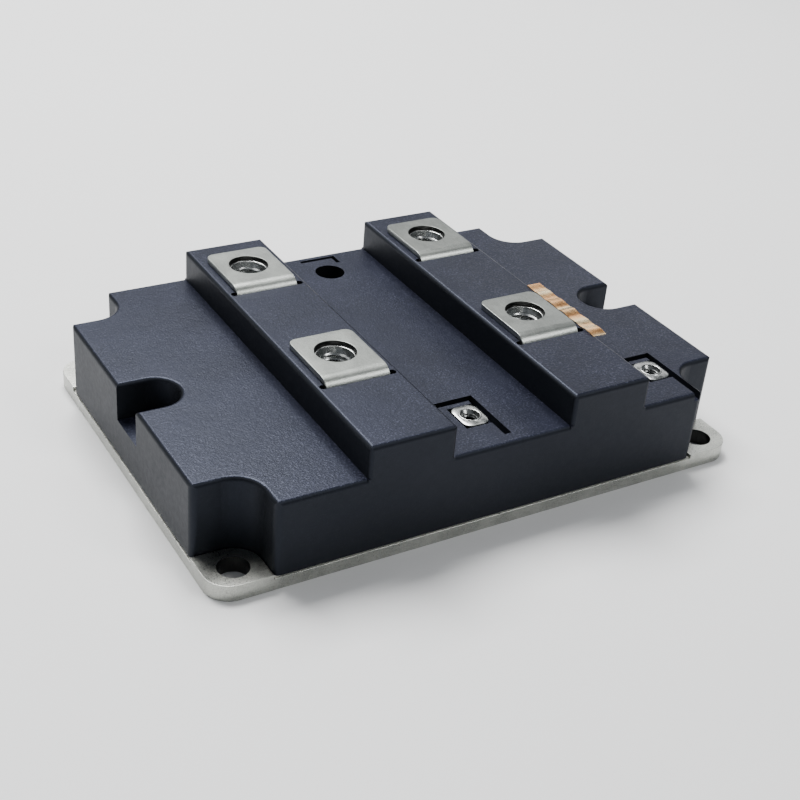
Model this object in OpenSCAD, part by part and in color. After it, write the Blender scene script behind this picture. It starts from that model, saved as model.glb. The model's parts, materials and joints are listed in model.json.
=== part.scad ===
// High-power IGBT module: moulded case with two terminal ridges on a copper baseplate.
// Millimetres. +X along the long front side, +Y to the back, +Z up from the baseplate's underside.

/* [Baseplate] */
// Length of the baseplate along X
base_l = 140; // [130:1:160]
// Width of the baseplate along Y
base_w = 100; // [94:1:110]
// Thickness of the baseplate
base_t = 4; // [3.5:0.5:6]
// Corner radius of the baseplate
base_r = 6; // [2:0.5:6]
// Diameter of the mounting holes
mount_d = 7; // [5:0.1:8]
// Distance from the mounting holes to the short sides
mount_edge_x = 7; // [6.5:0.1:8]
// Distance from the corner holes to the long sides
mount_edge_y = 6; // [5.5:0.1:7]

/* [Case] */
// How far the case wall stands inside the baseplate's edge
case_inset = 0.3; // [0.1:0.1:1]
// Height of the case's lower rim above the underside
rim_z = 3.2; // [2.6:0.1:3.3]
// Height of the lower deck
deck_z = 22; // [21:0.5:25]
// Height of the ridges' tops
ridge_z = 30; // [29:0.5:34]
// Width of each ridge
ridge_w = 21.4; // [20.5:0.1:23]
// Centre of the left ridge along X
ridge_left_x = -24.4; // [-26:0.1:-23]
// Distance between the ridges' centres
ridge_pitch = 52.3; // [50:0.1:54]
// Thickness of the side walls
wall = 2.4; // [2:0.1:3]
// Thickness of the deck
roof = 3.2; // [3:0.1:4]
// Radius of the notches around the mounting holes
notch_r = 6.8; // [6:0.1:7]
// Radius of the two notches in the middle of the short sides
side_notch_r = 6; // [5:0.1:6.5]
// Height of the floor in the two middle notches
side_floor_z = 12.7; // [8:0.1:16]
// Rounding of the top edges
edge_r = 1; // [0.4:0.1:1.4]
// Rounding of the upright corners
corner_r = 1.6; // [0.6:0.1:2]
// Rounding of the ridges' upright edges
ridge_corner_r = 1; // [0.4:0.1:1.6]

/* [Main terminals] */
// Width of a terminal plate along X
plate_w = 16.3; // [15:0.1:17]
// Distance from the screw hole to the plate's back edge
plate_back = 8.5; // [8:0.1:9.5]
// Distance from the screw hole to the start of the front bend
plate_front = 8.4; // [8:0.1:9]
// Thickness of the terminal sheet
plate_t = 1.4; // [1:0.1:1.6]
// Inner radius of the front bend
bend_r = 2; // [1:0.1:2.4]
// Radius of the plate's back corners
plate_corner_r = 2; // [0.5:0.1:3]
// Diameter of the clearance hole in a plate
plate_hole_d = 9.7; // [9:0.1:10.5]
// Screw hole of the back terminals along Y
terminal_back_y = 34; // [33:0.1:35]
// Distance between the terminals of one ridge
terminal_pitch = 47.2; // [46:0.1:48]
// Diameter of the round ends of a terminal slot
ear_d = 1.8; // [1.2:0.1:2.2]

/* [Nuts] */
// Width across flats of the main nuts
nut_af = 13; // [12:0.1:13.5]
// Height of the main nuts
nut_h = 6.5; // [5:0.1:7]
// Thread core diameter of the main nuts
nut_core_d = 6.8; // [6.5:0.1:7.2]
// Depth of the screw bore below the ridge's top
screw_depth = 12.6; // [11:0.1:13]
// Width of a small nut along X
aux_nut_w = 6.7; // [6:0.1:7.4]
// Length of a small nut along Y
aux_nut_l = 8.4; // [8:0.1:9]
// Height of the small nuts
aux_nut_h = 2.7; // [2.4:0.1:3]
// Thread core diameter of the small nuts
aux_core_d = 3.4; // [3.2:0.1:3.6]
// Distance from a ridge's right wall to the small nut's centre
aux_from_ridge = 11.9; // [11.6:0.1:12.1]
// Small nuts' centres along Y
aux_y = -36.6; // [-37.5:0.1:-36]
// Diameter of the unused round hole at the back
spare_hole_d = 7.8; // [7:0.1:9]
// Depth of the unused hole
spare_depth = 5; // [3:0.1:5]
// Unused hole's centre along X
spare_x = 2; // [0:0.1:4]
// Unused hole's centre along Y
spare_y = 39.4; // [38:0.1:40]

/* [Grooves beside the small terminals] */
// Width of the L-shaped grooves
groove_w = 1.8; // [1:0.1:2]
// Depth of the L-shaped grooves
groove_depth = 2; // [1:0.1:2.4]
// Distance from the nut's centre to the long leg's middle
groove_x = 4.1; // [3.9:0.1:4.2]
// Distance from the nut's centre to the short leg's middle
groove_y = 6.6; // [6.2:0.1:7]
// Length of the short leg left of the nut's centre
groove_short = 8; // [5:0.1:9]
// Width of the thin groove behind the unused hole
spare_groove_w = 1.1; // [0.8:0.1:1.4]

/* [Copper strip] */
// Width of the crinkled copper strip
strip_w = 3.8; // [3:0.1:4.5]
// Length of the copper strip
strip_l = 28.4; // [20:0.1:32]
// Thickness of the copper foil
strip_t = 0.3; // [0.2:0.05:0.5]
// Height of the crinkles
strip_wave = 0.55; // [0.2:0.05:0.8]
// Number of crinkles along the strip
strip_folds = 5; // [3:1:7]

/* [Inside] */
// Length of a substrate along X
sub_l = 48; // [46:0.5:50]
// Width of a substrate along Y
sub_w = 40; // [39:0.5:41]
// Centre of the substrates along X
sub_x = 27.5; // [27:0.5:28]
// Centre of the substrates along Y
sub_y = 22; // [21.5:0.5:22.5]
// Thickness of the ceramic
ceramic_t = 0.6; // [0.3:0.05:1]
// Thickness of the copper on both faces
copper_t = 0.3; // [0.2:0.05:0.4]
// Side of a transistor chip
igbt_a = 10; // [8:0.1:10.5]
// Side of a diode chip
diode_a = 8; // [6:0.1:8.5]
// Thickness of the chips
chip_t = 0.4; // [0.2:0.05:0.5]
// Distance between chip columns
chip_pitch = 12; // [11.5:0.1:12.2]
// Thickness of the inner bus plates
bus_t = 1; // [0.6:0.1:1.2]
// Underside of the collector bus plate
collector_z = 10; // [9:0.1:10.5]
// Underside of the emitter bus plate
emitter_z = 14; // [13:0.1:14.4]
// Height of the silicone gel's surface
gel_z = 12.4; // [11.5:0.1:12.8]

/* [Hidden] */
$fn = 64;
e = 0.01;
fit = 0.15;                                  // play between seated pieces
glue_t = 0.2;                                // adhesive under the rim
rebate_z = rim_z - glue_t;
hx = base_l / 2 - case_inset;                // case half sizes
hy = base_w / 2 - case_inset;
mx = base_l / 2 - mount_edge_x;              // mounting holes
my = base_w / 2 - mount_edge_y;
ridge_right_x = ridge_left_x + ridge_pitch;
ridges = [ridge_left_x, ridge_right_x];
terminal_ys = [terminal_back_y, terminal_back_y - terminal_pitch];
plate_z = ridge_z + plate_t;
tab_y = -plate_front - bend_r - plate_t / 2; // middle of the upright leg, from the hole
ceiling_z = deck_z - roof;
boss_r = nut_af / 2;
bore_r = plate_hole_d / 2 - 0.4;
aux_xs = [for (x = ridges) x + ridge_w / 2 + aux_from_ridge];
aux_proud = 0.3;
pocket_floor = 1.6;                          // plastic left under each blind bore
aux_boss_w = 12.4;
aux_boss_h = 3.4;
lead_t = 0.8;
lead_w = 4;
aux_floor_z = deck_z + aux_proud - aux_nut_h - lead_t;
copper_z = base_t;                           // stack on the baseplate
ceramic_z = copper_z + copper_t;
pads_z = ceramic_z + ceramic_t;
chips_z = pads_z + copper_t;
wires_z = chips_z + chip_t;
igbt_y = 10;                                 // rows in the first quadrant
diode_y = 22;
emitter_pad_y = 36.2;
emitter_pad_w = 8;
collector_pad_w = 27;
collector_pad_y = sub_y - sub_w / 2 + 1 + collector_pad_w / 2;
pad_l = sub_l - 3;
edge_pad_w = 1.6;                            // narrow pad at the inner edge
pad_gap = 0.8;
chip_x0 = sub_x - pad_l / 2 + edge_pad_w + pad_gap + igbt_a / 2 + 0.6;
foot_l = 6;                                  // collector feet
foot_x = sub_x + pad_l / 2 - foot_l / 2 - 1;
foot_y = 16;
emitter_foot_x = sub_x - sub_l / 2 + 3.7;
emitter_foot_w = 4.2;
lead_foot_l = 3;
board_w = 5;
board_l = 2 * sub_w;
board_t = 1.2;
resistor_d = 1.4;
resistor_l = 3.6;
resistor_pitch = 16;
wire_w = 0.4;

// shared shapes

module rounded_rect(l, w, r) {
    square([l - 2 * r, w], center = true);
    square([l, w - 2 * r], center = true);
    for (x = [-1, 1], y = [-1, 1]) translate([x * (l / 2 - r), y * (w / 2 - r)]) circle(r);
}

// copies the children into the four quadrants
module quadrants() {
    for (x = [0, 1], y = [0, 1]) mirror([x, 0, 0]) mirror([0, y, 0]) children();
}

// the round notch at a corner, open to both sides
module corner_notch(grow) {
    r = notch_r + grow;
    translate([mx, my]) circle(r);
    translate([mx - r, my]) square([base_l, base_w]);
    translate([mx, my - r]) square([base_l, base_w]);
}

// the U-shaped notch in the middle of a short side
module side_notch(grow) {
    r = side_notch_r + grow;
    translate([mx, 0]) circle(r);
    translate([mx, -r]) square([base_l, 2 * r]);
}

// what a rounded upright corner loses; the corner is the origin and the body lies at -X -Y
module corner_bite(r) {
    difference() {
        translate([-r, -r]) square(r + 1);
        translate([-r, -r]) circle(r);
    }
}

// plan of the case: half sizes x and y, with the notches grown by grow
module case_plan(x, y, grow, r = 0) {
    difference() {
        square([2 * x, 2 * y], center = true);
        quadrants() corner_notch(grow);
        if (r > 0) quadrants() {
            translate([x, my - notch_r - grow]) corner_bite(r);
            translate([mx - notch_r - grow, y]) corner_bite(r);
        }
    }
}

module case_inner_plan(play = 0) {
    difference() {
        case_plan(hx - wall - play, hy - wall - play, wall + play);
        for (s = [0, 1]) mirror([s, 0, 0]) side_notch(wall + play);
    }
}

// cutter that rounds a straight edge: runs l along Y, the edge is the origin, the body at -X -Z
module edge_cut(l, r) {
    rotate([90, 0, 0]) linear_extrude(l, center = true) corner_bite(r);
}

// cutter that rounds the edge of a round notch wall through the angle a
module notch_edge_cut(radius, r, a) {
    rotate_extrude(angle = a) translate([radius, 0]) mirror([1, 0]) corner_bite(r);
}

module at_terminals() {
    for (x = ridges, y = terminal_ys) translate([x, y, 0]) children();
}

module at_quadrant(n) {
    mirror([n == 2 || n == 3 ? 1 : 0, 0, 0]) mirror([0, n > 2 ? 1 : 0, 0]) children();
}

// baseplate and case

module mount_holes(d) {
    for (x = [-mx, mx], y = [-my, 0, my]) translate([x, y, -e]) cylinder(h = base_t + 2 * e, d = d);
}

module baseplate() {
    color("gainsboro") difference() {
        union() {
            linear_extrude(rebate_z) rounded_rect(base_l, base_w, base_r);
            translate([0, 0, rebate_z - e]) linear_extrude(base_t - rebate_z + e) difference() {
                rounded_rect(base_l, base_w, base_r);
                difference() {
                    case_plan(base_l, base_w, -fit);
                    case_inner_plan(fit);
                }
                for (s = [-1, 1]) translate([s * mx, 0])
                    square([2 * mount_edge_x + 1, 2 * (side_notch_r + wall + fit)], center = true);
            }
        }
        mount_holes(mount_d);
    }
}

module case_adhesive() {
    color("ivory") translate([0, 0, rebate_z]) linear_extrude(glue_t) difference() {
        case_plan(hx - fit, hy - fit, fit);
        case_inner_plan();
        for (s = [-1, 1]) translate([s * mx, 0]) circle(d = mount_d + 2);
    }
}

// solid envelope of the case with its rounded edges
module case_body() {
    difference() {
        union() {
            translate([0, 0, rim_z]) linear_extrude(deck_z - rim_z) case_plan(hx, hy, 0, corner_r);
            for (x = ridges) translate([x, 0, rim_z]) linear_extrude(ridge_z - rim_z)
                rounded_rect(ridge_w, 2 * hy, ridge_corner_r);
        }
        // short sides and the notch walls of the decks
        for (s = [-1, 1]) {
            translate([s * hx, 0, deck_z]) scale_x(s) edge_cut(base_w, edge_r);
        }
        quadrants() {
            translate([mx - notch_r, hy, deck_z]) edge_cut(2 * (hy - my), edge_r);
            translate([mx + 10, my - notch_r, deck_z]) rotate([0, 0, 90]) edge_cut(20, edge_r);
            translate([mx, my, deck_z]) rotate([0, 0, 180]) notch_edge_cut(notch_r, edge_r, 90);
        }
        // long sides of the decks, beside and between the ridges
        for (s = [-1, 1]) {
            deck_edge(-hx, ridge_left_x - ridge_w / 2, s);
            deck_edge(ridge_left_x + ridge_w / 2, ridge_right_x - ridge_w / 2, s);
            deck_edge(ridge_right_x + ridge_w / 2, hx, s);
        }
        // ridges
        for (x = ridges, s = [-1, 1]) {
            translate([x + s * ridge_w / 2, 0, ridge_z]) scale_x(s) edge_cut(base_w, edge_r);
            translate([x, s * hy, ridge_z]) rotate([0, 0, 90 * s]) edge_cut(ridge_w + 1, edge_r);
        }
        // middle notches
        for (s = [0, 1]) mirror([s, 0, 0]) {
            translate([0, 0, side_floor_z]) linear_extrude(deck_z) side_notch(0);
            translate([mx, 0, deck_z]) rotate([0, 0, 90]) notch_edge_cut(side_notch_r, edge_r, 180);
            for (t = [0, 1]) mirror([0, t, 0])
                translate([mx + 10, side_notch_r, deck_z]) rotate([0, 0, -90]) edge_cut(20, edge_r);
        }
    }
}

module scale_x(s) {
    mirror([s < 0 ? 1 : 0, 0, 0]) children();
}

module deck_edge(x0, x1, side) {
    translate([(x0 + x1) / 2, side * hy, deck_z]) rotate([0, 0, 90 * side]) edge_cut(x1 - x0, edge_r);
}

// slot for a terminal leg with its two round ends, cut from z0 to z1 around a hole at the origin
module terminal_slot(z0, z1) {
    slot_l = plate_w + 2 * fit;
    translate([-slot_l / 2, tab_y - plate_t / 2 - fit, z0]) cube([slot_l, plate_t + 2 * fit, z1 - z0]);
    for (s = [-1, 1]) translate([s * (slot_l / 2 + ear_d / 4), tab_y, z0]) cylinder(h = z1 - z0, d = ear_d);
}

// room for the bend where it dips below the ridge's top
module bend_relief() {
    translate([-plate_w / 2 - fit, tab_y, ridge_z - bend_r - fit])
        cube([plate_w + 2 * fit, bend_r + plate_t / 2, bend_r + fit + e]);
}

module hex(af, h) {
    cylinder(h = h, d = af / cos(30), $fn = 6);
}

module groove(x, y, w, short, long, gx, gy) {
    z = deck_z - groove_depth;
    translate([x - short, y + gy - w / 2, z]) cube([short + gx + w / 2, w, groove_depth + e]);
    translate([x + gx - w / 2, y + gy - long, z]) cube([w, long, groove_depth + e]);
}

module aux_pocket(x) {
    translate([x - aux_nut_w / 2 - fit, aux_y - aux_nut_l / 2 - fit, aux_floor_z])
        cube([aux_nut_w + 2 * fit, aux_nut_l + 2 * fit, roof + 5]);
    translate([x, aux_y, ceiling_z - aux_boss_h + pocket_floor])
        cylinder(h = roof + aux_boss_h, d = aux_core_d + 1.2);
    translate([x - lead_w / 2 - fit, aux_y + aux_nut_l / 2 - lead_t - fit, 0])
        cube([lead_w + 2 * fit, lead_t + 2 * fit, aux_floor_z + e]);
}

module case() {
    color([0.29, 0.32, 0.37]) difference() {
        union() {
            case_shell();
            // bosses under the deck carry the nuts and the small terminals
            intersection() {
                union() {
                    at_terminals() translate([0, 0, ridge_z - screw_depth - pocket_floor])
                        cylinder(h = roof + 2, r = boss_r);
                    for (x = aux_xs) translate([x, aux_y, ceiling_z - aux_boss_h])
                        linear_extrude(aux_boss_h + 1) square(aux_boss_w, center = true);
                    translate([spare_x, spare_y, deck_z - spare_depth - pocket_floor])
                        cylinder(h = spare_depth, d = spare_hole_d + 4);
                }
                linear_extrude(deck_z) case_plan(hx - 1, hy - 1, 1);
            }
        }
        at_terminals() {
            translate([0, 0, ridge_z - nut_h - fit]) rotate([0, 0, 30]) hex(nut_af + 2 * fit, nut_h + 1);
            translate([0, 0, ridge_z - screw_depth]) cylinder(h = screw_depth, r = bore_r);
            terminal_slot(e, ridge_z + 1);
            bend_relief();
        }
        for (x = aux_xs) aux_pocket(x);
        for (i = [0, 1]) groove(aux_xs[i], aux_y, groove_w, groove_short,
            i == 0 ? groove_y + 9.6 : groove_y + 20, groove_x, groove_y);
        groove(spare_x, spare_y, spare_groove_w, 4.8, 3.4, 4.8, spare_hole_d);
        translate([spare_x, spare_y, deck_z - spare_depth]) cylinder(h = spare_depth + e, d = spare_hole_d);
        for (s = [-1, 1]) translate([s * mx, 0, 0]) cylinder(h = side_floor_z + 1, d = mount_d + 0.4);
    }
}

module case_shell() {
    difference() {
        case_body();
        translate([0, 0, rim_z - 1]) linear_extrude(ceiling_z - rim_z + 1) case_inner_plan();
        difference() {
            for (x = ridges) translate([x - ridge_w / 2 + wall, wall - hy, rim_z])
                cube([ridge_w - 2 * wall, 2 * (hy - wall), ridge_z - roof - rim_z]);
            at_terminals() translate([-ridge_w / 2, tab_y - wall, ceiling_z - e])
                cube([ridge_w, boss_r + wall - tab_y, ridge_z]);
        }
    }
}

// terminals and nuts

// plate, bend and leg as one sheet, drawn around its screw hole; the leg ends at foot_z
module main_terminal(x, y, foot_z) {
    top = plate_z;
    r = plate_corner_r;
    color("silver") translate([x, y, 0]) {
        difference() {
            translate([0, 0, ridge_z]) linear_extrude(plate_t) union() {
                translate([-plate_w / 2, -plate_front]) square([plate_w, plate_front + plate_back - r]);
                translate([-plate_w / 2 + r, 0]) square([plate_w - 2 * r, plate_back]);
                for (s = [-1, 1]) translate([s * (plate_w / 2 - r), plate_back - r]) circle(r);
            }
            translate([0, 0, ridge_z - e]) cylinder(h = plate_t + 2 * e, d = plate_hole_d);
        }
        rotate([90, 0, 90]) linear_extrude(plate_w, center = true) union() {
            translate([-plate_front, top - plate_t - bend_r]) intersection() {
                difference() {
                    circle(bend_r + plate_t);
                    circle(bend_r);
                }
                translate([-20, 0]) square(20);
            }
            translate([tab_y - plate_t / 2, foot_z]) square([plate_t, top - plate_t - bend_r - foot_z]);
            translate([tab_y - plate_t / 2, foot_z]) square([plate_t + 2.6, 1]);
        }
    }
}

module main_nuts() {
    color("whitesmoke") at_terminals() translate([0, 0, ridge_z - nut_h]) difference() {
        rotate([0, 0, 30]) hex(nut_af, nut_h);
        translate([0, 0, -e]) cylinder(h = nut_h + 2 * e, d = nut_core_d);
        translate([0, 0, nut_h - 1.1]) cylinder(h = 1.1 + e, d1 = nut_core_d, d2 = 9);
    }
}

module auxiliary_nuts() {
    z = deck_z + aux_proud - aux_nut_h;
    color("whitesmoke") for (x = aux_xs) translate([x, aux_y, z]) difference() {
        union() {
            linear_extrude(aux_nut_h - 0.5) rounded_rect(aux_nut_w, aux_nut_l, 1.8);
            translate([0, 0, aux_nut_h - 0.5 - e]) linear_extrude(0.5 + e)
                rounded_rect(aux_nut_w - 0.8, aux_nut_l - 0.8, 1.6);
        }
        translate([0, 0, -e]) cylinder(h = aux_nut_h + 1, d = aux_core_d);
        translate([0, 0, aux_nut_h - 0.6]) cylinder(h = 0.6 + e, d1 = aux_core_d, d2 = aux_core_d + 1.2);
    }
}

// copper strip

module copper_strip() {
    n = 2 * strip_folds;
    step = strip_l / n;
    x = ridge_right_x + ridge_w / 2 - 1;
    y = terminal_ys[1] - plate_front - 7;
    lift = function(i) i % 2 == 0 ? 0 : strip_wave * (1 - 0.35 * ((i * 3) % 4) / 3);
    color([0.85, 0.6, 0.42]) translate([x, y, ridge_z]) rotate([90, 0, 90]) linear_extrude(strip_w)
        polygon(concat([for (i = [0:n]) [i * step, lift(i)]],
                       [for (i = [n:-1:0]) [i * step, lift(i) + strip_t]]));
}

// inside

module bottom_copper(n) {
    color("peru") at_quadrant(n) translate([sub_x, sub_y, copper_z]) linear_extrude(copper_t)
        square([pad_l + 1.5, sub_w - 1.5], center = true);
}

module substrate(n) {
    color("white") at_quadrant(n) translate([sub_x, sub_y, ceramic_z]) linear_extrude(ceramic_t)
        square([sub_l, sub_w], center = true);
}

module top_copper(n) {
    color("peru") at_quadrant(n) translate([0, 0, pads_z]) linear_extrude(copper_t) {
        translate([sub_x + (edge_pad_w + pad_gap) / 2, collector_pad_y])
            square([pad_l - edge_pad_w - pad_gap, collector_pad_w], center = true);
        translate([sub_x, emitter_pad_y]) square([pad_l, emitter_pad_w], center = true);
        translate([sub_x - pad_l / 2, collector_pad_y - collector_pad_w / 2])
            square([edge_pad_w, collector_pad_w]);
    }
}

module chip_row(n, y, a) {
    at_quadrant(n) for (i = [0:2]) translate([chip_x0 + i * chip_pitch - a / 2, y - a / 2, chips_z])
        cube([a, a, chip_t]);
}

module igbt_chips(n) {
    color("dimgray") chip_row(n, igbt_y, igbt_a);
}

module diode_chips(n) {
    color("slategray") chip_row(n, diode_y, diode_a);
}

// one wire loop over the span from y0 to y1, its far foot lower by drop
module bond_loop(y0, y1, drop) {
    t = 0.3;
    h = 1.8;
    rotate([90, 0, 90]) linear_extrude(wire_w) polygon([
        [y0 - 1, 0], [y0, 0], [y0 + 2, h - t], [y1 - 2, h - t], [y1, -drop], [y1 + 1, -drop],
        [y1 + 1, t - drop], [y1 + 0.2, t - drop], [y1 - 1.8, h], [y0 + 1.8, h],
        [y0 - 0.2, t], [y0 - 1, t]]);
}

module bond_wires(n) {
    color("lightgray") at_quadrant(n) for (i = [0:2], s = [-2, 2])
        translate([chip_x0 + i * chip_pitch + s - wire_w / 2, 0, wires_z]) {
            bond_loop(igbt_y, diode_y - 2, 0);
            bond_loop(diode_y + 1.6, emitter_pad_y, chip_t);
        }
}

module collector_bus() {
    feet = [for (y = terminal_ys) y + tab_y];
    color("chocolate") {
        translate([-foot_x - foot_l / 2, -foot_y - foot_l / 2 - 1, collector_z])
            cube([2 * foot_x + foot_l, 2 * foot_y + foot_l + 2, bus_t]);
        translate([ridge_left_x - plate_w / 2, feet[1] - 2, collector_z])
            cube([plate_w, feet[0] - feet[1] + 6, bus_t]);
        for (x = [-1, 1], y = [-1, 1]) translate([x * foot_x, y * foot_y, 0]) {
            translate([x * (foot_l - bus_t) / 2 - bus_t / 2, -foot_l / 2, chips_z])
                cube([bus_t, foot_l, collector_z - chips_z + e]);
            translate([-foot_l / 2, -foot_l / 2, chips_z]) cube([foot_l, foot_l, bus_t]);
        }
    }
}

module emitter_bus() {
    right = ridge_right_x + plate_w / 2;
    lows = terminal_ys[1] + tab_y - 2;
    highs = terminal_ys[0] + tab_y + 4;
    w = emitter_foot_w;
    color("sienna") {
        translate([-emitter_foot_x - w / 2, lows, emitter_z])
            cube([right + emitter_foot_x + w / 2, highs - lows, bus_t]);
        for (sx = [-1, 1], sy = [-1, 1]) {
            edge = sy < 0 ? lows : highs;
            foot_y = emitter_pad_y + lead_foot_l / 2;
            x = sx * emitter_foot_x - w / 2;
            translate([x, min(edge, sy * emitter_pad_y), emitter_z])
                cube([w, abs(sy * emitter_pad_y - edge), bus_t]);
            translate([x, sy * (emitter_pad_y - bus_t / 2) - bus_t / 2, chips_z])
                cube([w, bus_t, emitter_z - chips_z + bus_t]);
            translate([x, sy * foot_y - lead_foot_l / 2, chips_z])
                cube([w, lead_foot_l, bus_t]);
        }
    }
}

// strip from under a small nut down to foot_z, its foot reaching inward to foot_x
module aux_lead(x, foot_x, foot_z) {
    y = aux_y + aux_nut_l / 2;
    color("silver") difference() {
        union() {
            translate([x - lead_w / 2, y - aux_nut_l, aux_floor_z])
                cube([lead_w, aux_nut_l, lead_t]);
            translate([x - lead_w / 2, y - lead_t, foot_z])
                cube([lead_w, lead_t, aux_floor_z - foot_z + e]);
            translate([foot_x, y - lead_foot_l, foot_z])
                cube([x + lead_w / 2 - foot_x, lead_foot_l, lead_t]);
        }
        translate([x, aux_y, aux_floor_z - e]) cylinder(h = lead_t + 2 * e, d = aux_core_d + 0.2);
    }
}

module gate_board() {
    color("darkgreen") translate([-board_w / 2, -board_l / 2, base_t]) cube([board_w, board_l, board_t]);
}

module gate_resistors() {
    color("lightblue") for (i = [-1.5:1:1.5])
        translate([0, i * resistor_pitch, base_t + board_t + resistor_d / 2]) rotate([90, 0, 0])
            cylinder(h = resistor_l, d = resistor_d, center = true);
}

// poured filling around everything inside, up to gel_z
module silicone_gel() {
    color("honeydew", 0.4) difference() {
        translate([0, 0, base_t]) linear_extrude(gel_z - base_t) case_inner_plan(fit);
        for (n = [1:4]) {
            bottom_copper(n);
            substrate(n);
            top_copper(n);
            igbt_chips(n);
            diode_chips(n);
            bond_wires(n);
        }
        collector_bus();
        emitter_bus();
        gate_lead();
        sense_lead();
        gate_board();
        gate_resistors();
        for (y = terminal_ys) {
            left_terminal(y);
            right_terminal(y);
        }
    }
}

module gate_lead() {
    aux_lead(aux_xs[0], aux_xs[0] - lead_w / 2, base_t + board_t);
}

module sense_lead() {
    aux_lead(aux_xs[1], min(sub_x + pad_l / 2 - lead_w, aux_xs[1] - lead_w / 2), chips_z);
}

// the left ridge's terminals stand on the collector bus, the right ridge's on the emitter bus
module left_terminal(y) {
    main_terminal(ridge_left_x, y, collector_z + bus_t);
}

module right_terminal(y) {
    main_terminal(ridge_right_x, y, emitter_z + bus_t);
}

baseplate();
case();
case_adhesive();
silicone_gel();
left_terminal(terminal_ys[0]);  // terminal_back_left
left_terminal(terminal_ys[1]);  // terminal_front_left
right_terminal(terminal_ys[0]);  // terminal_back_right
right_terminal(terminal_ys[1]);  // terminal_front_right
main_nuts();
auxiliary_nuts();
copper_strip();
collector_bus();
emitter_bus();
gate_lead();
sense_lead();
gate_board();
gate_resistors();
substrate(1);  // substrate_1
substrate(2);  // substrate_2
substrate(3);  // substrate_3
substrate(4);  // substrate_4
bottom_copper(1);  // bottom_copper_1
bottom_copper(2);  // bottom_copper_2
bottom_copper(3);  // bottom_copper_3
bottom_copper(4);  // bottom_copper_4
top_copper(1);  // top_copper_1
top_copper(2);  // top_copper_2
top_copper(3);  // top_copper_3
top_copper(4);  // top_copper_4
igbt_chips(1);  // igbt_chips_1
igbt_chips(2);  // igbt_chips_2
igbt_chips(3);  // igbt_chips_3
igbt_chips(4);  // igbt_chips_4
diode_chips(1);  // diode_chips_1
diode_chips(2);  // diode_chips_2
diode_chips(3);  // diode_chips_3
diode_chips(4);  // diode_chips_4
bond_wires(1);  // bond_wires_1
bond_wires(2);  // bond_wires_2
bond_wires(3);  // bond_wires_3
bond_wires(4);  // bond_wires_4
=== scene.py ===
import json
import math
import random

import bmesh
import bpy
from mathutils import Euler, Matrix, Vector


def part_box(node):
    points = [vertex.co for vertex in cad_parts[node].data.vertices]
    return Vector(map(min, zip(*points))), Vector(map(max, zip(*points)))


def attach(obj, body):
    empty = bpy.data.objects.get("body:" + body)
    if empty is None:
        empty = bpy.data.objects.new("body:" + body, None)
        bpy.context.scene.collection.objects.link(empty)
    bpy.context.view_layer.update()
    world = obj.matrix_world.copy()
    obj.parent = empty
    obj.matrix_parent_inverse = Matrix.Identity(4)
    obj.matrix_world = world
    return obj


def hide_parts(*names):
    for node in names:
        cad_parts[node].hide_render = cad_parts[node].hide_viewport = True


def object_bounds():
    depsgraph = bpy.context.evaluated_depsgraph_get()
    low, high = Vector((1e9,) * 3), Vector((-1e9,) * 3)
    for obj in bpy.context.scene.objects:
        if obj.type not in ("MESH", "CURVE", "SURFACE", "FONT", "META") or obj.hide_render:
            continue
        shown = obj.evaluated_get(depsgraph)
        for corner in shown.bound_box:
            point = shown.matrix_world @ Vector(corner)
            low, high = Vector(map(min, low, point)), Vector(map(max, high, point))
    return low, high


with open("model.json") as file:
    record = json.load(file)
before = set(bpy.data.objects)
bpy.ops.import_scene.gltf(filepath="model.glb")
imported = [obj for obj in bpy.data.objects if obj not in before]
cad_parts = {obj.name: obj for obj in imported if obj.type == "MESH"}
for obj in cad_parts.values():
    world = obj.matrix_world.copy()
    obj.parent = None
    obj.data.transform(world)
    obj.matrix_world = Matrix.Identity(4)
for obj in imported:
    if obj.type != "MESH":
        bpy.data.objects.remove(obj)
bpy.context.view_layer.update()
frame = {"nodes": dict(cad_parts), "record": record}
mm = 0.001
print("frame loaded:", len(frame["nodes"]), "nodes")


# node building

class Wire:
    # wraps a socket, so that a + b, 1 - a or a * b adds the Math node it needs
    def __init__(self, finish, socket):
        self.finish = finish
        self.socket = socket

    def maths(self, operation, first, second):
        return self.finish.node("ShaderNodeMath", {"operation": operation}, {0: first, 1: second})

    def __add__(self, other):
        return self.maths("ADD", self, other)

    def __radd__(self, other):
        return self.maths("ADD", other, self)

    def __sub__(self, other):
        return self.maths("SUBTRACT", self, other)

    def __rsub__(self, other):
        return self.maths("SUBTRACT", other, self)

    def __mul__(self, other):
        return self.maths("MULTIPLY", self, other)

    def __rmul__(self, other):
        return self.maths("MULTIPLY", other, self)

    def atMost(self, other):
        return self.maths("MINIMUM", self, other)

    # 0 below low, 1 above high, and a smooth step between
    def between(self, low, high):
        ranges = {"interpolation_type": "SMOOTHSTEP"}
        return self.finish.node("ShaderNodeMapRange", ranges, {0: self, 1: low, 2: high, 3: 0.0, 4: 1.0})


socketNames = {"tint": "Specular Tint", "colour": "Base Color", "rough": "Roughness", "metal": "Metallic",
               "normal": "Normal", "alpha": "Alpha", "specular": "Specular IOR Level"}


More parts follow.
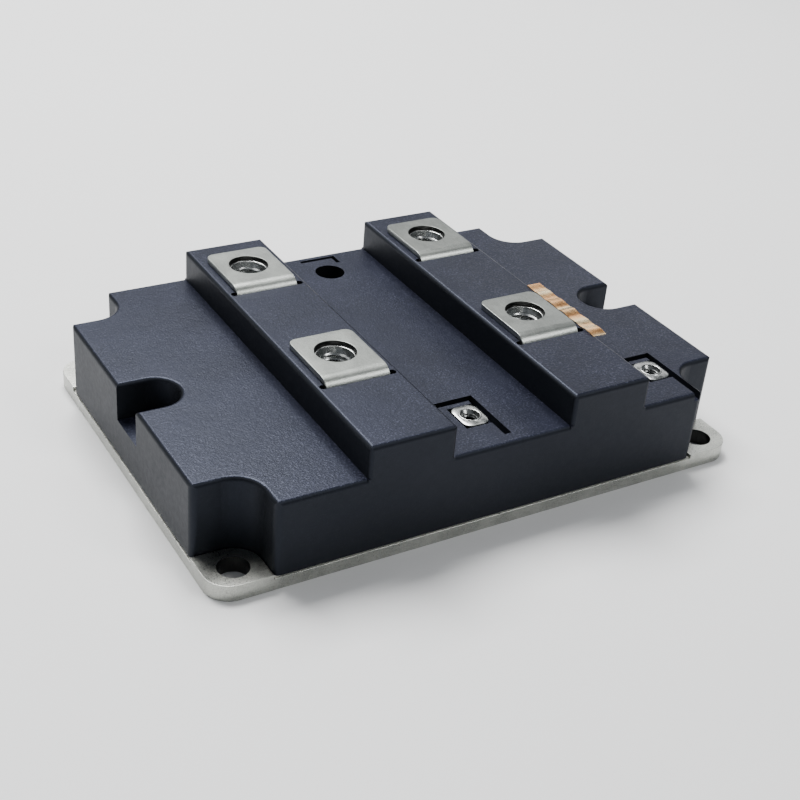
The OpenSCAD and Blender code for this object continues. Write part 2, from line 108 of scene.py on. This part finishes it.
class Finish:
    # one material: node() adds any node, and the rest are short cuts for what is used often
    def __init__(self, name, **fixed):
        self.material = bpy.data.materials.new(name)
        self.material.use_nodes = True
        self.tree = self.material.node_tree
        self.tree.nodes.clear()
        output = self.tree.nodes.new("ShaderNodeOutputMaterial")
        self.shader = self.tree.nodes.new("ShaderNodeBsdfPrincipled")
        self.tree.links.new(self.shader.outputs[0], output.inputs[0])
        self.place = self.node("ShaderNodeTexCoord", out="Object")
        for key, value in fixed.items():
            self.shader.inputs[socketNames[key]].default_value = value

    def node(self, kind, settings=None, inputs=None, out=0):
        made = self.tree.nodes.new(kind)
        for key, value in (settings or {}).items():
            if key == "stops":
                setStops(made.color_ramp, value)
            else:
                setattr(made, key, value)
        for key, value in (inputs or {}).items():
            self.feed(made.inputs[key], value)
        return Wire(self, made.outputs[out])

    def feed(self, target, value):
        if isinstance(value, Wire):
            self.tree.links.new(value.socket, target)
        else:
            target.default_value = value

    # soft noise of about the given size, drawn out where stretch is under 1
    def noise(self, size, detail=2.0, roughness=0.5, stretch=None):
        where = self.place
        if stretch:
            where = self.node("ShaderNodeVectorMath", {"operation": "MULTIPLY"}, {0: where, 1: stretch})
        values = {"Vector": where, "Scale": 1 / size, "Detail": detail, "Roughness": roughness}
        return self.node("ShaderNodeTexNoise", {"noise_dimensions": "3D"}, values)

    def height(self, vector=None):
        return self.node("ShaderNodeSeparateXYZ", None, {0: vector or self.place}, out="Z")

    # 1 on faces that look up, 0 on walls
    def upper(self, low, high):
        return self.height(self.node("ShaderNodeTexCoord", out="Normal")).between(low, high)

    def blend(self, factor, first, second, mode="MIX"):
        settings = {"data_type": "RGBA", "blend_type": mode, "clamp_factor": True}
        return self.node("ShaderNodeMix", settings, {0: factor, 6: first, 7: second}, out=2)

    def ramp(self, factor, stops):
        return self.node("ShaderNodeValToRGB", {"stops": stops}, {0: factor})

    def bump(self, height, distance, strength=0.5, under=None):
        values = {"Height": height, "Distance": distance, "Strength": strength}
        if under is not None:
            values["Normal"] = under
        return self.node("ShaderNodeBump", None, values)

    def paint(self, **links):
        for key, value in links.items():
            self.feed(self.shader.inputs[socketNames[key]], value)
        return self.material


def setStops(band, stops):
    while len(band.elements) > 1:
        band.elements.remove(band.elements[-1])
    for index, (position, colour) in enumerate(stops):
        element = band.elements[0] if index == 0 else band.elements.new(position)
        element.position = position
        element.color = (*colour, 1.0)


def rgb(red, green, blue):
    return (red, green, blue, 1.0)


# moulded case: glass-filled plastic, grained on top with a painted blue sheen and painted glints there, and
# plainer on its walls

moulding = {"deep": rgb(0.0042, 0.0048, 0.0100), "lit": rgb(0.0074, 0.0084, 0.0170),
            "worn": rgb(0.020, 0.022, 0.036), "wall": rgb(0.0060, 0.0068, 0.0064),
            "fibre": rgb(0.066, 0.070, 0.105), "shine": 0.26, "shineTint": rgb(0.62, 0.71, 1.0),
            "upper": (0.78, 0.98), "rough": 0.37, "wallRough": 0.13,
            "grain": 0.46 * mm, "grainDepth": 0.09 * mm, "fibres": (0.52, 0.70), "fibreAmount": 0.8,
            "patch": 14 * mm, "patches": (0.35, 0.68), "dust": 2.4 * mm, "dustAmount": 0.35,
            "flow": 22 * mm, "flowDepth": 0.10 * mm}


def mouldedCase():
    look = moulding
    f = Finish("mouldedCase", specular=look["shine"], tint=look["shineTint"])
    top = f.upper(*look["upper"])
    cloud = f.noise(look["flow"], 4, 0.6)
    wave = f.noise(look["flow"] * 0.5, 1, 0.4)
    grain = f.noise(look["grain"], 2, 0.6)
    coarse = f.noise(look["grain"] * 2.6, 2, 0.5)
    # glass-fibre grain with painted glints of the sheen: fine light specks painted on the upper faces,
    # thicker in some places than in others
    patch = f.noise(look["patch"], 3, 0.6).between(*look["patches"])
    fibre = grain.between(*look["fibres"]) * (0.35 + 0.65 * patch) * (0.06 + 0.94 * top)
    body = f.blend(cloud.between(0.3, 0.7), look["deep"], look["lit"])
    dust = f.noise(look["dust"], 5, 0.75).between(0.60, 0.85) * cloud.between(0.45, 0.75)
    body = f.blend(dust * look["dustAmount"], body, look["worn"])
    # painted sheen: the upper faces take the bluer grained colour, standing for the blue sheen of the decks,
    # and the walls take the plain neutral one
    body = f.blend(0.15 + 0.85 * top, look["wall"], body)
    # painted glints of the sheen, together with the fibre grain, go into the colour here
    body = f.blend(fibre * look["fibreAmount"], body, look["fibre"])
    rough = look["rough"] + look["wallRough"] * (1 - top)
    rough = rough + 0.10 * (cloud - 0.5) + 0.14 * (coarse - 0.5) - 0.12 * fibre
    soft = f.bump(wave, look["flowDepth"])
    normal = f.bump((grain * 0.7 + coarse * 0.5) * (0.3 + 0.7 * top), look["grainDepth"], 0.9, soft)
    return f.paint(colour=body, rough=rough, normal=normal)


# nickel plating: the side factor paints light and shade onto the faces that don't look up: a painted
# highlight that makes the terminals' bends and edges lighter than the rest, and painted shade that makes the
# baseplate's edges darker

plating = {"light": 0.395, "dull": 0.27, "stain": rgb(0.27, 0.25, 0.20), "stainAmount": 0.25,
           "holeWall": rgb(0.055, 0.056, 0.054), "holeEdge": (0.04 * mm, 0.14 * mm), "upper": (0.55, 0.97),
           "cloud": 7 * mm, "streak": 0.30 * mm, "pit": 0.45 * mm, "tooth": 0.26 * mm, "stainSize": 3.1 * mm}
platedBase = {"tone": (1.98, 2.01, 1.86), "rough": 0.30, "brush": (0.12, 1.0, 1.0), "toothDepth": 0.034 * mm,
              "sides": 0.66, "holeRadius": 3.5 * mm, "holeX": 63 * mm, "holeY": 44 * mm}
platedTerminal = {"tone": (0.82, 0.86, 0.81), "rough": 0.33, "brush": (1.0, 0.15, 1.0),
                  "toothDepth": 0.030 * mm, "sides": 1.45, "holeRadius": 4.85 * mm}


def satinNickel(name, look, holes):
    f = Finish(name, metal=1.0)
    cloud = f.noise(plating["cloud"], 4, 0.62)
    streaks = f.noise(plating["streak"], 2, 0.6, stretch=look["brush"])
    mottle = f.noise(plating["pit"], 3, 0.6)
    tooth = f.noise(plating["tooth"], 1, 0.5)              # the matt tooth under the plating
    stain = f.noise(plating["stainSize"], 5, 0.7).between(0.58, 0.80)
    shade = (0.40 * cloud + 0.18 * streaks + 0.12 * mottle + 0.30 * tooth).between(0.38, 0.62)
    dull, light = (rgb(*(plating[key] * part for part in look["tone"])) for key in ("dull", "light"))
    colour = f.blend(shade, dull, light)
    colour = f.blend(stain * plating["stainAmount"], colour, plating["stain"])
    # painted light on the faces that don't look up: highlight on the terminals, shade on the baseplate
    sides = rgb(look["sides"], look["sides"], look["sides"])
    colour = f.blend(1 - f.upper(*plating["upper"]), colour, sides, "MULTIPLY")
    # painted shade darkens the walls of the holes: whatever lies within the radius of a hole's centre, seen
    # from above
    plan = f.node("ShaderNodeVectorMath", {"operation": "MULTIPLY"}, {0: f.place, 1: (1, 1, 0)})
    nearest = None
    for hole in holes:
        centre = (hole[0], hole[1], 0)
        away = f.node("ShaderNodeVectorMath", {"operation": "DISTANCE"}, {0: plan, 1: centre}, out="Value")
        nearest = away if nearest is None else nearest.atMost(away)
    # painted shade inside the holes
    holeShade = 1 - nearest.between(*(look["holeRadius"] + edge for edge in plating["holeEdge"]))
    colour = f.blend(holeShade, colour, plating["holeWall"])
    rough = look["rough"] + 0.10 * (cloud - 0.5) + 0.14 * (tooth - 0.5) + 0.08 * stain
    normal = f.bump(0.4 * streaks + 0.5 * mottle + 0.8 * tooth, look["toothDepth"], 0.8)
    return f.paint(colour=colour, rough=rough, normal=normal)


# turned steel, with painted shade that darkens down a nut's bore over the fade's depth

turning = {"light": (0.62, 0.63, 0.62), "dull": (0.38, 0.39, 0.38), "deep": rgb(0.035, 0.036, 0.038),
           "cloud": 1.6 * mm, "fine": 0.18 * mm, "fineStretch": (1, 1, 3), "fineDepth": 0.010 * mm,
           "litFrom": 0.25}
mainSteel = {"tone": 1.15, "rough": 0.24, "fade": 5.2 * mm}
smallSteel = {"tone": 0.85, "rough": 0.26, "fade": 2.2 * mm}


def turnedSteel(name, look, node):
    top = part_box(node)[1].z
    f = Finish(name, metal=1.0)
    cloud = f.noise(turning["cloud"], 4, 0.65)
    fine = f.noise(turning["fine"], 2, 0.6, stretch=turning["fineStretch"])
    dull, light = (rgb(*(part * look["tone"] for part in turning[key])) for key in ("dull", "light"))
    colour = f.blend(cloud.between(0.35, 0.68), dull, light)
    # painted shade down the bore: below the top the steel goes over to the deep colour
    lit = f.height().between(top - look["fade"], top - turning["litFrom"] * look["fade"])
    colour = f.blend(lit, turning["deep"], colour)
    rough = look["rough"] + 0.18 * (cloud - 0.5) + 0.12 * (fine - 0.5)
    return f.paint(colour=colour, rough=rough, normal=f.bump(fine, turning["fineDepth"]))


# copper foil, with painted highlights and shade in bands across it that change along its length, standing for
# the light on its folds

foil = {"bands": [(0.34, (0.50, 0.23, 0.09)), (0.43, (0.84, 0.46, 0.20)), (0.51, (0.98, 0.63, 0.32)),
                  (0.60, (1.0, 0.80, 0.50))],
        "band": 3.8 * mm, "bandStretch": (0.12, 1, 0.12), "cloud": 1.3 * mm,
        "tarnish": rgb(0.40, 0.19, 0.09), "tarnishAmount": 0.2, "tarnishSize": 1.1 * mm,
        "fine": 0.25 * mm, "fineStretch": (1, 0.25, 1), "rough": 0.26, "depth": 0.02 * mm}


def copperFoil():
    f = Finish("copperFoil", metal=1.0)
    bands = f.noise(foil["band"], 1, 0.5, stretch=foil["bandStretch"])
    cloud = f.noise(foil["cloud"], 4, 0.6)
    fine = f.noise(foil["fine"], 3, 0.6, stretch=foil["fineStretch"])
    tarnish = f.noise(foil["tarnishSize"], 5, 0.7).between(0.60, 0.84)
    # painted light: the ramp's dark and bright stops stand for shade and highlights on the folds
    colour = f.ramp(0.94 * bands + 0.06 * cloud, foil["bands"])
    colour = f.blend(tarnish * foil["tarnishAmount"], colour, foil["tarnish"])
    rough = foil["rough"] + 0.20 * (cloud - 0.5) + 0.15 * tarnish
    return f.paint(colour=colour, rough=rough, normal=f.bump(fine + 0.5 * cloud, foil["depth"]))


# quiet finishes for what lies inside: two tones in soft patches, with a fine tooth

innerLooks = {
    "adhesive": {"name": "curedAdhesive", "low": (0.55, 0.54, 0.50), "high": (0.70, 0.69, 0.64),
                 "patch": 2 * mm, "rough": 0.5, "depth": 0.03 * mm},
    "gel": {"name": "clearGel", "low": (0.72, 0.75, 0.74), "high": (0.80, 0.82, 0.80),
            "patch": 6 * mm, "rough": 0.12, "depth": 0.01 * mm, "alpha": 0.4},
    "inner_copper": {"name": "bareCopper", "low": (0.62, 0.30, 0.18), "high": (0.80, 0.46, 0.30),
                     "patch": 4 * mm, "rough": 0.35, "depth": 0.01 * mm, "metal": 1.0},
    "inner_lead": {"name": "tinnedStrip", "low": (0.50, 0.50, 0.48), "high": (0.68, 0.67, 0.64),
                   "patch": 2 * mm, "rough": 0.32, "depth": 0.01 * mm, "metal": 1.0},
    "board": {"name": "boardLaminate", "low": (0.015, 0.10, 0.04), "high": (0.03, 0.17, 0.07),
              "patch": 1.5 * mm, "rough": 0.38, "depth": 0.02 * mm},
    "resistor": {"name": "resistorLacquer", "low": (0.12, 0.24, 0.36), "high": (0.20, 0.34, 0.48),
                 "patch": 1 * mm, "rough": 0.25, "depth": 0.01 * mm},
    "ceramic": {"name": "firedCeramic", "low": (0.76, 0.76, 0.73), "high": (0.86, 0.86, 0.84),
                "patch": 1 * mm, "rough": 0.48, "depth": 0.02 * mm},
    "chip": {"name": "chipMetal", "low": (0.12, 0.13, 0.16), "high": (0.22, 0.23, 0.27),
             "patch": 1 * mm, "rough": 0.20, "depth": 0.003 * mm, "metal": 0.6},
    "wire": {"name": "drawnAluminium", "low": (0.66, 0.66, 0.67), "high": (0.80, 0.80, 0.81),
             "patch": 0.5 * mm, "rough": 0.28, "depth": 0.003 * mm, "metal": 1.0},
}


def quietFinish(look):
    fixed = {key: look[key] for key in ("metal", "alpha") if key in look}
    f = Finish(look["name"], **fixed)
    patch = f.noise(look["patch"], 4, 0.6)
    tooth = f.noise(look["patch"] * 0.08, 2, 0.5)
    colour = f.blend(patch.between(0.3, 0.7), rgb(*look["low"]), rgb(*look["high"]))
    rough = look["rough"] + 0.15 * (patch - 0.5)
    return f.paint(colour=colour, rough=rough, normal=f.bump(tooth, look["depth"]))


# the places of the record's mounts whose names start so
def mountsOf(start):
    return [mount["pos_m"] for mount in frame["record"]["mounts"] if mount["name"].startswith(start)]


def makeFinishes():
    baseHoles = [(x * platedBase["holeX"], y * platedBase["holeY"]) for x in (-1, 1) for y in (-1, 1)]
    baseHoles += [(x * platedBase["holeX"], 0) for x in (-1, 1)]
    made = {
        "case": mouldedCase(),
        "baseplate": satinNickel("platedBase", platedBase, baseHoles),
        "terminal": satinNickel("platedTerminal", platedTerminal, mountsOf("screw_")),
        "main_nut": turnedSteel("mainNutSteel", mainSteel, "main_nuts"),
        "auxiliary_nut": turnedSteel("smallNutSteel", smallSteel, "auxiliary_nuts"),
        "copper_strip": copperFoil(),
    }
    for slot, look in innerLooks.items():
        made[slot] = quietFinish(look)
    return made


finishes = makeFinishes()
slotOf = {part["node"]: part["material_slot"] for part in frame["record"]["subparts"]}
for name, piece in frame["nodes"].items():
    piece.data.materials.clear()
    piece.data.materials.append(finishes[slotOf[name]])
print("finishes made:", len(finishes))


# mesh helpers

def addPiece(name, mesh, slot, replaced):
    piece = bpy.data.objects.new(name, mesh)
    bpy.context.scene.collection.objects.link(piece)
    mesh.materials.append(finishes[slot])
    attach(piece, "root")
    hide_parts(replaced)
    return piece


def meshFrom(name, points, faces, smoothAngle):
    mesh = bpy.data.meshes.new(name)
    mesh.from_pydata([tuple(point) for point in points], [], faces)
    shape = bmesh.new()
    shape.from_mesh(mesh)
    bmesh.ops.recalc_face_normals(shape, faces=shape.faces)
    shape.to_mesh(mesh)
    shape.free()
    mesh.shade_smooth()
    mesh.set_sharp_from_angle(angle=math.radians(smoothAngle))
    return mesh


# the faces between neighbouring loops of points, each loop closed on itself
def skin(loops, count, closed):
    faces = []
    for i in range(loops if closed else loops - 1):
        after = (i + 1) % loops
        for k in range(count):
            following = (k + 1) % count
            faces.append((i * count + k, after * count + k, after * count + following, i * count + following))
    return faces


# nuts with real threads

mainNut = {"flats": 13.0 * mm, "major": 8.0 * mm, "minor": 6.75 * mm, "pitch": 1.25 * mm, "mouth": 8.9 * mm,
           "around": 128, "perTurn": 12, "edge": 0.45 * mm, "lip": 0.34 * mm, "rise": 0.18 * mm}
smallNut = {"major": 4.0 * mm, "minor": 3.3 * mm, "pitch": 0.7 * mm, "mouth": 4.6 * mm, "corner": 2.1 * mm,
            "around": 192, "perTurn": 10, "edge": 0.40 * mm, "lip": 0.28 * mm, "rise": 0.14 * mm}
# both nuts: the outer edge as shares of edge (in, down), the mouth's lip as shares of lip and rise (out, up)
nutShape = {"outerEdge": [(0, 1), (0.3, 0.3), (1, 0)],
            "lip": [(1.3, 0), (1, 0.7), (0.7, 1), (0.3, 1), (0, 0.6)], "lipDrop": 0.06 * mm,
            "slope": 1.25, "flat": 0.125, "runIn": 0.5, "start": 0.6, "smoothAngle": 40,
            "closings": 40}


def hexReach(flats, angle):
    sector = math.pi / 3
    return flats / 2 / math.cos((angle + sector / 2) % sector - sector / 2)


# distance from the centre to a rounded rectangle's edge, found by closing in from outside
def plateReach(width, length, corner, angle):
    direction = Vector((abs(math.cos(angle)), abs(math.sin(angle))))
    reach = math.hypot(width, length) / 2
    for _ in range(nutShape["closings"]):
        spot = direction * reach
        over = Vector((spot.x - width / 2 + corner, spot.y - length / 2 + corner))
        outside = Vector((max(over.x, 0), max(over.y, 0))).length + min(max(over.x, over.y), 0) - corner
        reach -= outside
    return reach


# the thread's radius at a height and an angle: a V with flats that climbs one pitch a turn
def threadRadius(size, z, angle):
    phase = (z / size["pitch"] - angle / (2 * math.pi)) % 1
    tooth = abs(2 * phase - 1)
    tooth = min(max(tooth * nutShape["slope"] - nutShape["flat"], 0), 1)
    return (size["minor"] + (size["major"] - size["minor"]) * tooth) / 2


def nutMesh(name, size, place, low, high, reach):
    centre = Vector((place[0], place[1], 0))
    depth = (size["mouth"] - size["minor"]) / 2
    bottom, top = low + depth, high - depth
    rows = int((top - bottom) / size["pitch"] * size["perTurn"])
    rim, edge, lip, rise = size["mouth"] / 2, size["edge"], size["lip"], size["rise"]
    points = []
    for i in range(size["around"]):
        angle = 2 * math.pi * i / size["around"]
        outer = reach(angle)
        profile = [(outer, low)]
        profile += [(outer - edge * inward, high - edge * down) for inward, down in nutShape["outerEdge"]]
        profile += [(rim + lip * outward, high + rise * up) for outward, up in nutShape["lip"]]
        profile += [(rim, high - nutShape["lipDrop"])]
        for k in range(rows + 1):
            z = top + (bottom - top) * k / rows
            fade = min(1, (high - z - depth * nutShape["start"]) / (size["pitch"] * nutShape["runIn"]))
            radius = size["minor"] / 2 + (threadRadius(size, z, angle) - size["minor"] / 2) * fade
            profile.append((radius, z))
        profile.append((rim, low))
        turn = Vector((math.cos(angle), math.sin(angle), 0))
        points += [centre + turn * radius + Vector((0, 0, z)) for radius, z in profile]
    faces = skin(size["around"], len(profile), closed=True)
    return meshFrom(name, points, faces, nutShape["smoothAngle"])


def makeNuts():
    low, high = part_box("main_nuts")
    for index, place in enumerate(mountsOf("screw_")):
        mesh = nutMesh("mainNut", mainNut, place, low.z, high.z, lambda a: hexReach(mainNut["flats"], a))
        addPiece(f"mainNut{index + 1}", mesh, "main_nut", "main_nuts")
    low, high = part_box("auxiliary_nuts")
    places = mountsOf("auxiliary_")
    width = (high.x - low.x) - abs(Vector(places[1]).x - Vector(places[0]).x)
    length = high.y - low.y
    for index, place in enumerate(places):
        mesh = nutMesh("smallNut", smallNut, place, low.z, high.z,
                       lambda a: plateReach(width, length, smallNut["corner"], a))
        addPiece(f"smallNut{index + 1}", mesh, "auxiliary_nut", "auxiliary_nuts")
    print("nuts made")


# copper strip: folds at uneven places and heights, each running a little askew

strip = {"thick": 0.16 * mm, "along": 150, "across": 12, "folds": 11, "seed": 11, "shift": 0.22,
         "crest": (0.30, 0.30), "trough": 0.10, "end": 0.3, "skew": 0.02, "fill": 0.95,
         "wobble": 0.06 * mm, "wobbleShare": 0.3, "waves": (37, 5, 9), "smoothAngle": 50}


def makeStrip():
    low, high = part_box("copper_strip")
    rng = random.Random(strip["seed"])
    length = high.y - low.y
    width = high.x - low.x
    rise = high.z - low.z - strip["thick"]
    count = strip["folds"]
    folds = [(k + rng.uniform(-strip["shift"], strip["shift"])) / count for k in range(count + 1)]
    folds[0], folds[-1] = 0.0, 1.0
    crest, spread = strip["crest"]
    heights = [crest + spread * rng.random() if k % 2 else strip["trough"] * rng.random()
               for k in range(count + 1)]
    heights[-1] = strip["end"]
    skew = [rng.uniform(-strip["skew"], strip["skew"]) for k in range(count + 1)]

    # height at a share u of the length and v of the width
    def lift(u, v):
        for k in range(count):
            first = folds[k] + skew[k] * (v - 0.5) * (0 < k)
            last = folds[k + 1] + skew[k + 1] * (v - 0.5) * (k < count - 1)
            if u <= last or k == count - 1:
                t = min(max((u - first) / (last - first), 0), 1)
                t = t * t * (3 - 2 * t)
                return heights[k] + (heights[k + 1] - heights[k]) * t

    points = []
    alongWaves, skewWaves, acrossWaves = strip["waves"]
    for i in range(strip["along"] + 1):
        u = i / strip["along"]
        under = []
        for k in range(strip["across"] + 1):
            v = k / strip["across"]
            wobble = strip["wobble"] * math.sin(alongWaves * u + skewWaves * v) * math.sin(acrossWaves * v)
            z = low.z + rise * min(max(lift(u, v), 0), 1) * strip["fill"]
            z += max(wobble, 0) * strip["wobbleShare"]
            under.append(Vector((low.x + width * v, low.y + length * u, z)))
        points += [point + Vector((0, 0, strip["thick"])) for point in under] + under[::-1]
    ring = 2 * (strip["across"] + 1)
    faces = skin(strip["along"] + 1, ring, closed=False)
    for start in (0, strip["along"] * ring):
        for k in range(strip["across"]):
            faces.append((start + k, start + k + 1, start + ring - 2 - k, start + ring - 1 - k))
    mesh = meshFrom("copperStrip", points, faces, strip["smoothAngle"])
    addPiece("copperStrip", mesh, "copper_strip", "copper_strip")
    print("copper strip made")


# softened edges of the baseplate and the terminals

edges = {"base": 0.25 * mm, "terminal": 0.16 * mm, "segments": 2, "weld": 0.001 * mm, "merge": 1,
         "cornerAngle": 40, "smoothAngle": 38, "weight": 100}


def applyModifier(piece, modifier):
    bpy.context.view_layer.objects.active = piece
    piece.select_set(True)
    bpy.ops.object.modifier_apply(modifier=modifier.name)
    piece.select_set(False)


def soften(node, name, slot, width):
    mesh = frame["nodes"][node].data.copy()
    mesh.name = name
    shape = bmesh.new()
    shape.from_mesh(mesh)
    bmesh.ops.remove_doubles(shape, verts=shape.verts, dist=edges["weld"])
    bmesh.ops.dissolve_limit(shape, angle_limit=math.radians(edges["merge"]), verts=shape.verts,
                             edges=shape.edges)
    shape.to_mesh(mesh)
    shape.free()
    mesh.materials.clear()
    piece = addPiece(name, mesh, slot, node)
    bevel = piece.modifiers.new("edges", "BEVEL")
    bevel.width = width
    bevel.segments = edges["segments"]
    bevel.limit_method = "ANGLE"
    bevel.angle_limit = math.radians(edges["cornerAngle"])
    applyModifier(piece, bevel)
    piece.data.shade_smooth()
    piece.data.set_sharp_from_angle(angle=math.radians(edges["smoothAngle"]))
    flat = piece.modifiers.new("flatFaces", "WEIGHTED_NORMAL")     # keeps the wide faces flat
    flat.mode = "FACE_AREA"
    flat.weight = edges["weight"]
    flat.keep_sharp = True
    applyModifier(piece, flat)


def makeEdges():
    soften("baseplate", "basePlate", "baseplate", edges["base"])
    for node in frame["nodes"]:
        if node.startswith("terminal_"):
            label = "".join(word.capitalize() for word in node.split("_")[1:])
            soften(node, "terminal" + label, "terminal", edges["terminal"])
    print("metal edges softened")


# camera, floor and light

camera = {"place": Vector((-160.1, -254.8, 188.9)) * mm, "azimuth": -32.55, "elevation": 31.42, "roll": 5.15,
          "lens": 63.0, "sensor": 36, "nearest": 0.01}
floorPaper = {"half": 3, "drop": 0.02 * mm, "warm": rgb(0.86, 0.86, 0.855), "cool": rgb(0.88, 0.88, 0.88),
              "patch": 0.15, "rough": 0.6}
sky = {"brightness": 0.18, "colour": (0.86, 0.93, 1.0, 1.0)}
# each soft box hangs one metre off: degrees round from the back, degrees up, width, height, brightness
softBoxes = {"overhead": (-2, 60, 0.62, 0.55, 20.0), "right": (62, 68, 0.45, 0.45, 1.5),
             "behind": (14, 36, 0.60, 0.20, 1.7), "low": (50, 24, 0.50, 0.25, 1.6),
             "left": (-80, 60, 0.40, 0.40, 0.6), "front": (138, 46, 0.30, 0.32, 8.6)}


def makeCamera():
    data = bpy.data.cameras.new("camera")
    data.lens = camera["lens"]
    data.sensor_width = camera["sensor"]
    data.clip_start = camera["nearest"]
    eye = bpy.data.objects.new("camera", data)
    eye.location = camera["place"]
    turn = Euler((math.radians(90 - camera["elevation"]), 0, math.radians(camera["azimuth"]))).to_matrix()
    eye.rotation_euler = (turn @ Matrix.Rotation(math.radians(camera["roll"]), 3, "Z")).to_euler()
    bpy.context.scene.collection.objects.link(eye)
    bpy.context.scene.camera = eye


def makeFloor():
    f = Finish("floorPaper")
    patch = f.noise(floorPaper["patch"], 3, 0.5)
    colour = f.blend(patch, floorPaper["warm"], floorPaper["cool"])
    f.paint(colour=colour, rough=floorPaper["rough"] + 0.1 * (patch - 0.5))
    half = floorPaper["half"]
    corners = [(-half, -half, 0), (half, -half, 0), (half, half, 0), (-half, half, 0)]
    mesh = bpy.data.meshes.new("floor")
    mesh.from_pydata(corners, [], [(0, 1, 2, 3)])
    mesh.materials.append(f.material)
    floor = bpy.data.objects.new("floor", mesh)
    floor.location.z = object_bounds()[0][2] - floorPaper["drop"]
    bpy.context.scene.collection.objects.link(floor)


def makeSky():
    world = bpy.data.worlds.new("studio")
    world.use_nodes = True
    background = world.node_tree.nodes["Background"]
    background.inputs[0].default_value = sky["colour"]
    background.inputs[1].default_value = sky["brightness"]
    bpy.context.scene.world = world


def makeLamp(name, around, up, width, height, brightness):
    data = bpy.data.lights.new(name, "AREA")
    data.shape = "RECTANGLE"
    data.size = width
    data.size_y = height
    data.energy = math.pi * width * height * brightness    # so that brightness is what its face shows
    around, up = math.radians(around), math.radians(up)
    place = Vector((math.sin(around) * math.cos(up), math.cos(around) * math.cos(up), math.sin(up)))
    lamp = bpy.data.objects.new(name, data)
    lamp.location = place
    lamp.rotation_euler = (-place).to_track_quat("-Z", "Y").to_euler()
    bpy.context.scene.collection.objects.link(lamp)


makeNuts()
makeStrip()
makeEdges()
makeCamera()
makeFloor()
makeSky()
for boxName, setting in softBoxes.items():
    makeLamp(boxName, *setting)
print("camera, floor and light made")
